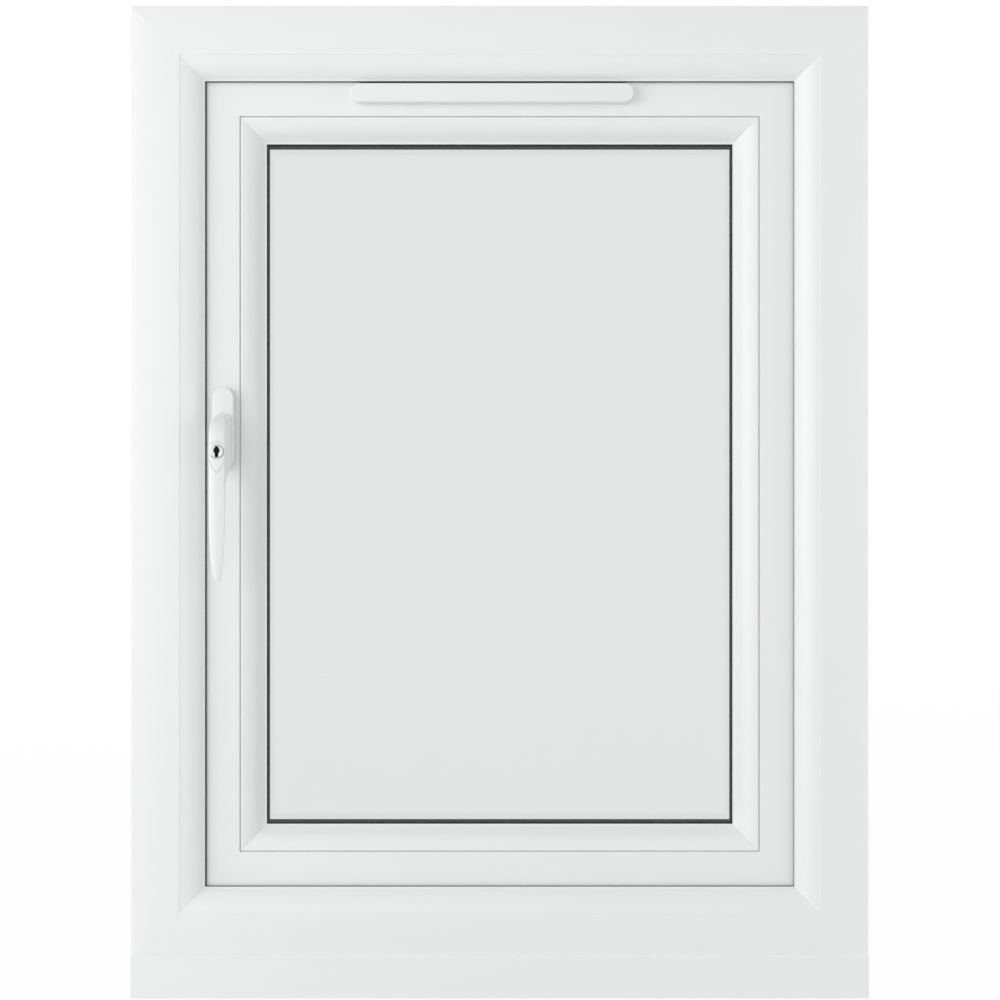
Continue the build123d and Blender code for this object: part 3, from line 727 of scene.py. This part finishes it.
def lever_ring(height):
    """Level outline of the lever: soft crowned front, nearly flat sides, soft back edges."""
    back, front, half_back, half_front = between(lever_stations, height)
    beside_lock = max(0.0, 1.0 - abs(height - lock_height) / lock_reach)
    soft = min(front_round - round_lost * beside_lock, front_depth_share * (front - back),
               front_width_share * half_front)
    crown = min(crown_high, crown_share * soft)
    on_grip = min(1.0, max(0.0, (grip_top - height) / grip_blend))
    back_soft = min(back_round + back_round_gain * on_grip, back_depth_share * (front - back),
                    back_width_share * half_back)
    foot, side = back + back_soft, front - soft - crown
    right = quarter(half_back - back_soft, foot, back_soft, back_soft, -pi / 2, back_steps)
    for step in range(1, side_steps):
        part = step / side_steps
        right.append((half_back + (half_front - half_back) * part, foot + (side - foot) * part))
    wide = front_squeeze * soft
    right += quarter(half_front - wide, side, wide, soft, 0, front_steps)
    edge_x, edge_out = right[-1]
    for step in range(1, crown_steps):
        part = step / crown_steps
        right.append((edge_x * (1 - part), edge_out + crown * (1 - (1 - part) ** 2)))
    outline = [(0, back)] + right + [(0, front)] + [(-x, out) for x, out in reversed(right)]
    return [(handle_x + x, sash_face - out, spindle_z + height) for x, out in outline]


lever_heights = []
for upper, lower in zip(lever_stations, lever_stations[1:]):
    drop = upper[0] - lower[0]
    rings = max(2, round(drop / ring_spacing))
    lever_heights += [upper[0] - drop * step / rings for step in range(rings)]
lever_heights.append(lever_stations[-1][0])
lever_skin = loft_mesh("lever", [lever_ring(height) for height in lever_heights])

# Lock in the lever
# A shield-shaped inlay in the front of the lever, sprayed with it, and a plated key barrel
# pressed into it. A thin shadow line runs round both. The wafers and a small ward in the
# keyhole are near black and dark grey with weak reflections: painted shade of the keyhole's depth.

shield_radius, shield_point, shield_deep = 9.6, 19.6, 2.0
shield_gap, point_gap_share = 0.42, 1.3
bore_radius, bore_deep, barrel_radius, cutter_over = 6.72, 9, 6.3, 2
lock_aside, barrel_sink = 0.45, 0.1
lock_x, lock_z = handle_x + lock_aside, spindle_z + lock_height
front_y = sash_face - lever_out
# Distance below the barrel's middle and half width of the shield, down to its point.
shield_half = [(4, 8.3), (8, 6.75), (11, 5.75), (14, 4.6), (16.5, 3.3), (18.3, 1.9), (19.3, 0.8)]


def shield_ring(y, shrink, steps=24):
    """Outline of the shield: a round top that draws in to a soft point below."""
    points = []
    for step in range(steps + 1):
        angle = pi * step / steps
        points.append(((shield_radius - shrink) * cos(angle), (shield_radius - shrink) * sin(angle)))
    points += [(shrink - half, -down) for down, half in shield_half]
    points.append((0, point_gap_share * shrink - shield_point))
    points += [(half - shrink, -down) for down, half in reversed(shield_half)]
    return [(lock_x + x, y, lock_z + z) for x, z in points]


def disc_ring(radius, y, steps=64, height=0.0):
    """Points of a circle round the barrel's middle, or this height over it."""
    angles = [2 * pi * step / steps for step in range(steps)]
    return [(lock_x + radius * cos(angle), y, lock_z + height + radius * sin(angle))
            for angle in angles]


def carve(base, tool, operation):
    """Mesh of base cut by or kept within tool."""
    first, second = bpy.data.objects.new("first", base), bpy.data.objects.new("second", tool)
    for blank in (first, second):
        bpy.context.scene.collection.objects.link(blank)
    modifier = first.modifiers.new("cut", "BOOLEAN")
    modifier.operation, modifier.solver, modifier.object = operation, "EXACT", second
    result = bpy.data.meshes.new_from_object(first.evaluated_get(bpy.context.evaluated_depsgraph_get()))
    for blank in (first, second):
        bpy.data.objects.remove(blank)
    return result


pocket = loft_mesh("pocket", [shield_ring(y, 0)
                              for y in (front_y - cutter_over, front_y + shield_deep)])
bore = loft_mesh("bore", [disc_ring(bore_radius, y)
                          for y in (front_y - cutter_over, front_y + bore_deep)])
inlay_form = loft_mesh("inlay", [shield_ring(y, shield_gap)
                                 for y in (front_y - cutter_over, front_y + shield_deep)])
inlay_mesh = carve(lever_skin.copy(), inlay_form, "INTERSECT")
inlay_mesh = carve(inlay_mesh, bore.copy(), "DIFFERENCE")
lever_mesh = carve(lever_skin, pocket, "DIFFERENCE")
lever_mesh = carve(lever_mesh, bore, "DIFFERENCE")
lever = show("handle_lever_skin", lever_mesh, handle_white, sharp=40)
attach(lever, "handle")
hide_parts("handle_lever")
inlay = show("lock_inlay", inlay_mesh, handle_white, sharp=40)
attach(inlay, "handle")
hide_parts("lock_insert")

barrel_plating = skin_material("barrel_plating", (0.86, 0.865, 0.865), (0.81, 0.815, 0.815),
                               patch=4, grain=0.25, smooth=0.2, rough=0.34, bump=0.15, metallic=1.0)
barrel_front = front_y + barrel_sink
# Radius and depth, from the foot over the bevelled rim and a fine groove to the flat face.
barrel_profile = [(barrel_radius, 8.9), (barrel_radius, 0.35), (6.22, 0.1), (6.0, 0.0),
                  (5.72, 0.0), (5.62, 0.1), (5.6, 3.0), (5.4, 3.0), (5.38, 0.1), (5.28, 0.0)]
keyway_wide, keyway_tall, keyway_deep, keyway_round = 3.5, 10.2, 7, 0.5
ward_radius, ward_up, ward_deep, ward_steps = 3.2, 1.1, 1.6, 40
key_play, wafer_front, ward_front = 0.1, 0.8, 0.9


def keyway(name, play, depths):
    """Upright slot with small round corners between two depths behind the lever's front."""
    return loft_mesh(name, [
        stadium_ring(keyway_wide - play, keyway_tall - play, lock_x, lock_z, front_y + depth,
                     corner_steps, keyway_round) for depth in depths])


def ward_disc(name, play, depths):
    """Round widening of the slot, where the key's shaft goes in."""
    return loft_mesh(name, [disc_ring(ward_radius - play, front_y + depth, ward_steps, ward_up)
                            for depth in depths])


barrel_mesh = loft_mesh("barrel", [disc_ring(radius, barrel_front + back)
                                   for radius, back in barrel_profile])
barrel_mesh = carve(barrel_mesh, ward_disc("ward", 0, (-cutter_over, ward_deep)), "DIFFERENCE")
barrel_mesh = carve(barrel_mesh, keyway("slot", 0, (-cutter_over, keyway_deep)), "DIFFERENCE")
barrel = show("lock_barrel_skin", barrel_mesh, barrel_plating)
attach(barrel, "handle")
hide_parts("lock_barrel")

# The wafers and ward are real parts of the lock; their near black and dark grey, with weak reflections,
# are painted shade of the keyhole's depth.
wafer_shade_black = skin_material("wafer_shade_black", (0.003, 0.003, 0.003), (0.006, 0.006, 0.005),
                           patch=3, grain=0.3, smooth=0.6, rough=0.8, bump=0.1)
ward_shade_grey = skin_material("ward_shade_grey", (0.10, 0.10, 0.105), (0.07, 0.07, 0.072),
                          patch=2, grain=0.3, smooth=0.45, rough=0.6, bump=0.1)
for material in (wafer_shade_black, ward_shade_grey):
    material.node_tree.nodes["Principled BSDF"].inputs["Specular IOR Level"].default_value = 0.1
wafers = show("key_wafers", keyway("wafers", key_play, (keyway_deep - key_play, wafer_front)),
              wafer_shade_black)
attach(wafers, "handle")
ward = show("key_ward", ward_disc("ward_disc", key_play, (ward_deep - key_play, ward_front)),
            ward_shade_grey)
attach(ward, "handle")

# Spindle, lock and stays
# Zinc plated steel that works inside the sash and in the gap round it: the square spindle
# through the sash, the lock in its groove, the keeps on the frame and the friction stays.

zinc_plate = skin_material("zinc_plate", (0.62, 0.63, 0.64), (0.52, 0.53, 0.55),
                           patch=8, grain=0.5, smooth=0.3, rough=0.45, bump=0.2, metallic=1.0)
for node in ("handle_spindle", "sash_lock", "lock_keep_low", "lock_keep_mid", "lock_keep_high",
             "stay_track_low", "stay_track_high", "stay_arm_low", "stay_arm_high"):
    dress(node, zinc_plate)

# Floor, light and camera
# A pale studio: a white floor that keeps the window's shadow, even light all round, a broad
# soft lamp from the left, a weak one from the right, a thin strip that grazes the lever's
# side, and a lamp behind. The camera looks straight at the window from the room.


def seen_directly(tree):
    """Socket that is 1 for camera, glossy and transmission rays and 0 for other light."""
    paths = tree.nodes.new("ShaderNodeLightPath")
    share = paths.outputs["Is Camera Ray"]
    for ray in ("Is Glossy Ray", "Is Transmission Ray"):
        larger = tree.nodes.new("ShaderNodeMath")
        larger.operation = "MAXIMUM"
        tree.links.new(share, larger.inputs[0])
        tree.links.new(paths.outputs[ray], larger.inputs[1])
        share = larger.outputs[0]
    return share


def floor_material():
    """Matt white that glows where it is seen, a little less near the window."""
    material = bpy.data.materials.new("floor_white")
    material.use_nodes = True
    nodes, link = material.node_tree.nodes, material.node_tree.links.new
    nodes.clear()
    place = nodes.new("ShaderNodeTexCoord")
    reach = nodes.new("ShaderNodeVectorMath")
    reach.operation = "LENGTH"
    link(place.outputs["Object"], reach.inputs[0])
    fade = nodes.new("ShaderNodeMapRange")
    for label, value in (("From Min", 0.9), ("From Max", 3.0), ("To Min", 0.95), ("To Max", 1.0)):
        fade.inputs[label].default_value = value
    link(reach.outputs["Value"], fade.inputs["Value"])
    share = nodes.new("ShaderNodeMath")
    share.operation = "MULTIPLY"
    link(seen_directly(material.node_tree), share.inputs[0])
    link(fade.outputs["Result"], share.inputs[1])
    matt = nodes.new("ShaderNodeBsdfDiffuse")
    speckle = nodes.new("ShaderNodeTexNoise")
    speckle.inputs["Scale"].default_value = 4.0
    shade = nodes.new("ShaderNodeMix")
    shade.data_type = "RGBA"
    shade.inputs["A"].default_value = (0.86, 0.86, 0.86, 1)
    shade.inputs["B"].default_value = (0.84, 0.84, 0.84, 1)
    link(speckle.outputs["Fac"], shade.inputs["Factor"])
    link(shade.outputs["Result"], matt.inputs["Color"])
    glow = nodes.new("ShaderNodeEmission")
    glow.inputs["Strength"].default_value = 1.0
    mix = nodes.new("ShaderNodeMixShader")
    link(share.outputs[0], mix.inputs["Fac"])
    link(matt.outputs[0], mix.inputs[1])
    link(glow.outputs[0], mix.inputs[2])
    out = nodes.new("ShaderNodeOutputMaterial")
    link(mix.outputs[0], out.inputs["Surface"])
    return material


def studio_world(strength):
    """Even white light of this strength, which is pure white where it is seen."""
    studio = bpy.data.worlds.new("studio")
    studio.use_nodes = True
    nodes, link = studio.node_tree.nodes, studio.node_tree.links.new
    nodes.clear()
    mix = nodes.new("ShaderNodeMixShader")
    link(seen_directly(studio.node_tree), mix.inputs["Fac"])
    for slot, power in ((1, strength), (2, 1.0)):
        white = nodes.new("ShaderNodeBackground")
        white.inputs["Color"].default_value = (1, 1, 1, 1)
        white.inputs["Strength"].default_value = power
        link(white.outputs[0], mix.inputs[slot])
    out = nodes.new("ShaderNodeOutputWorld")
    link(mix.outputs[0], out.inputs["Surface"])
    return studio


# How far the floor reaches each way, in metres, and the strength of the even light.
floor_reach, daylight = 12, 0.61
floor_mesh = bpy.data.meshes.new("floor")
floor_mesh.from_pydata([(x * floor_reach, y * floor_reach, 0)
                        for x, y in ((-1, -1), (1, -1), (1, 1), (-1, 1))], [], [(0, 1, 2, 3)])
floor_mesh.materials.append(floor_material())
floor = bpy.data.objects.new("floor", floor_mesh)
bpy.context.scene.collection.objects.link(floor)
bpy.context.scene.world = studio_world(daylight)

# Name, place, width, height and power of each lamp, in metres and watts.
lamps = (("key", (-2.5, -1.85, 0.66), 3.0, 2.6, 58.0), ("fill", (2.2, -1.0, 0.55), 2.6, 2.0, 9.5),
         ("edge", (2.5, -0.055, 0.52), 0.05, 1.5, 15.0), ("back", (-1.3, 2.7, 0.9), 2.6, 2.0, 26.0))
lamp_aim = Vector((0, 0, 0.5))
for name, place, width, height, power in lamps:
    lamp = bpy.data.lights.new(name, "AREA")
    lamp.shape, lamp.size, lamp.size_y, lamp.energy = "RECTANGLE", width, height, power
    stand = bpy.data.objects.new(name, lamp)
    stand.location = place
    stand.rotation_euler = (lamp_aim - stand.location).to_track_quat("-Z", "Y").to_euler()
    stand.visible_transmission = False
    bpy.context.scene.collection.objects.link(stand)

# The photo's pixel is this wide in the plane of the room face, seen from this far.
pixel_wide, picture_pixels, camera_distance = 0.94883, 1000, 1600.0
camera_x, camera_z = 0.34, 472.1
lens = bpy.data.cameras.new("camera")
lens.sensor_width = 36.0
lens.lens = lens.sensor_width * camera_distance / (picture_pixels * pixel_wide)
camera = bpy.data.objects.new("camera", lens)
camera.location = (camera_x * MM, (room_face - camera_distance) * MM, camera_z * MM)
camera.rotation_euler = (pi / 2, 0, 0)
bpy.context.scene.collection.objects.link(camera)
bpy.context.scene.camera = camera
bpy.context.scene.view_settings.view_transform = "Standard"
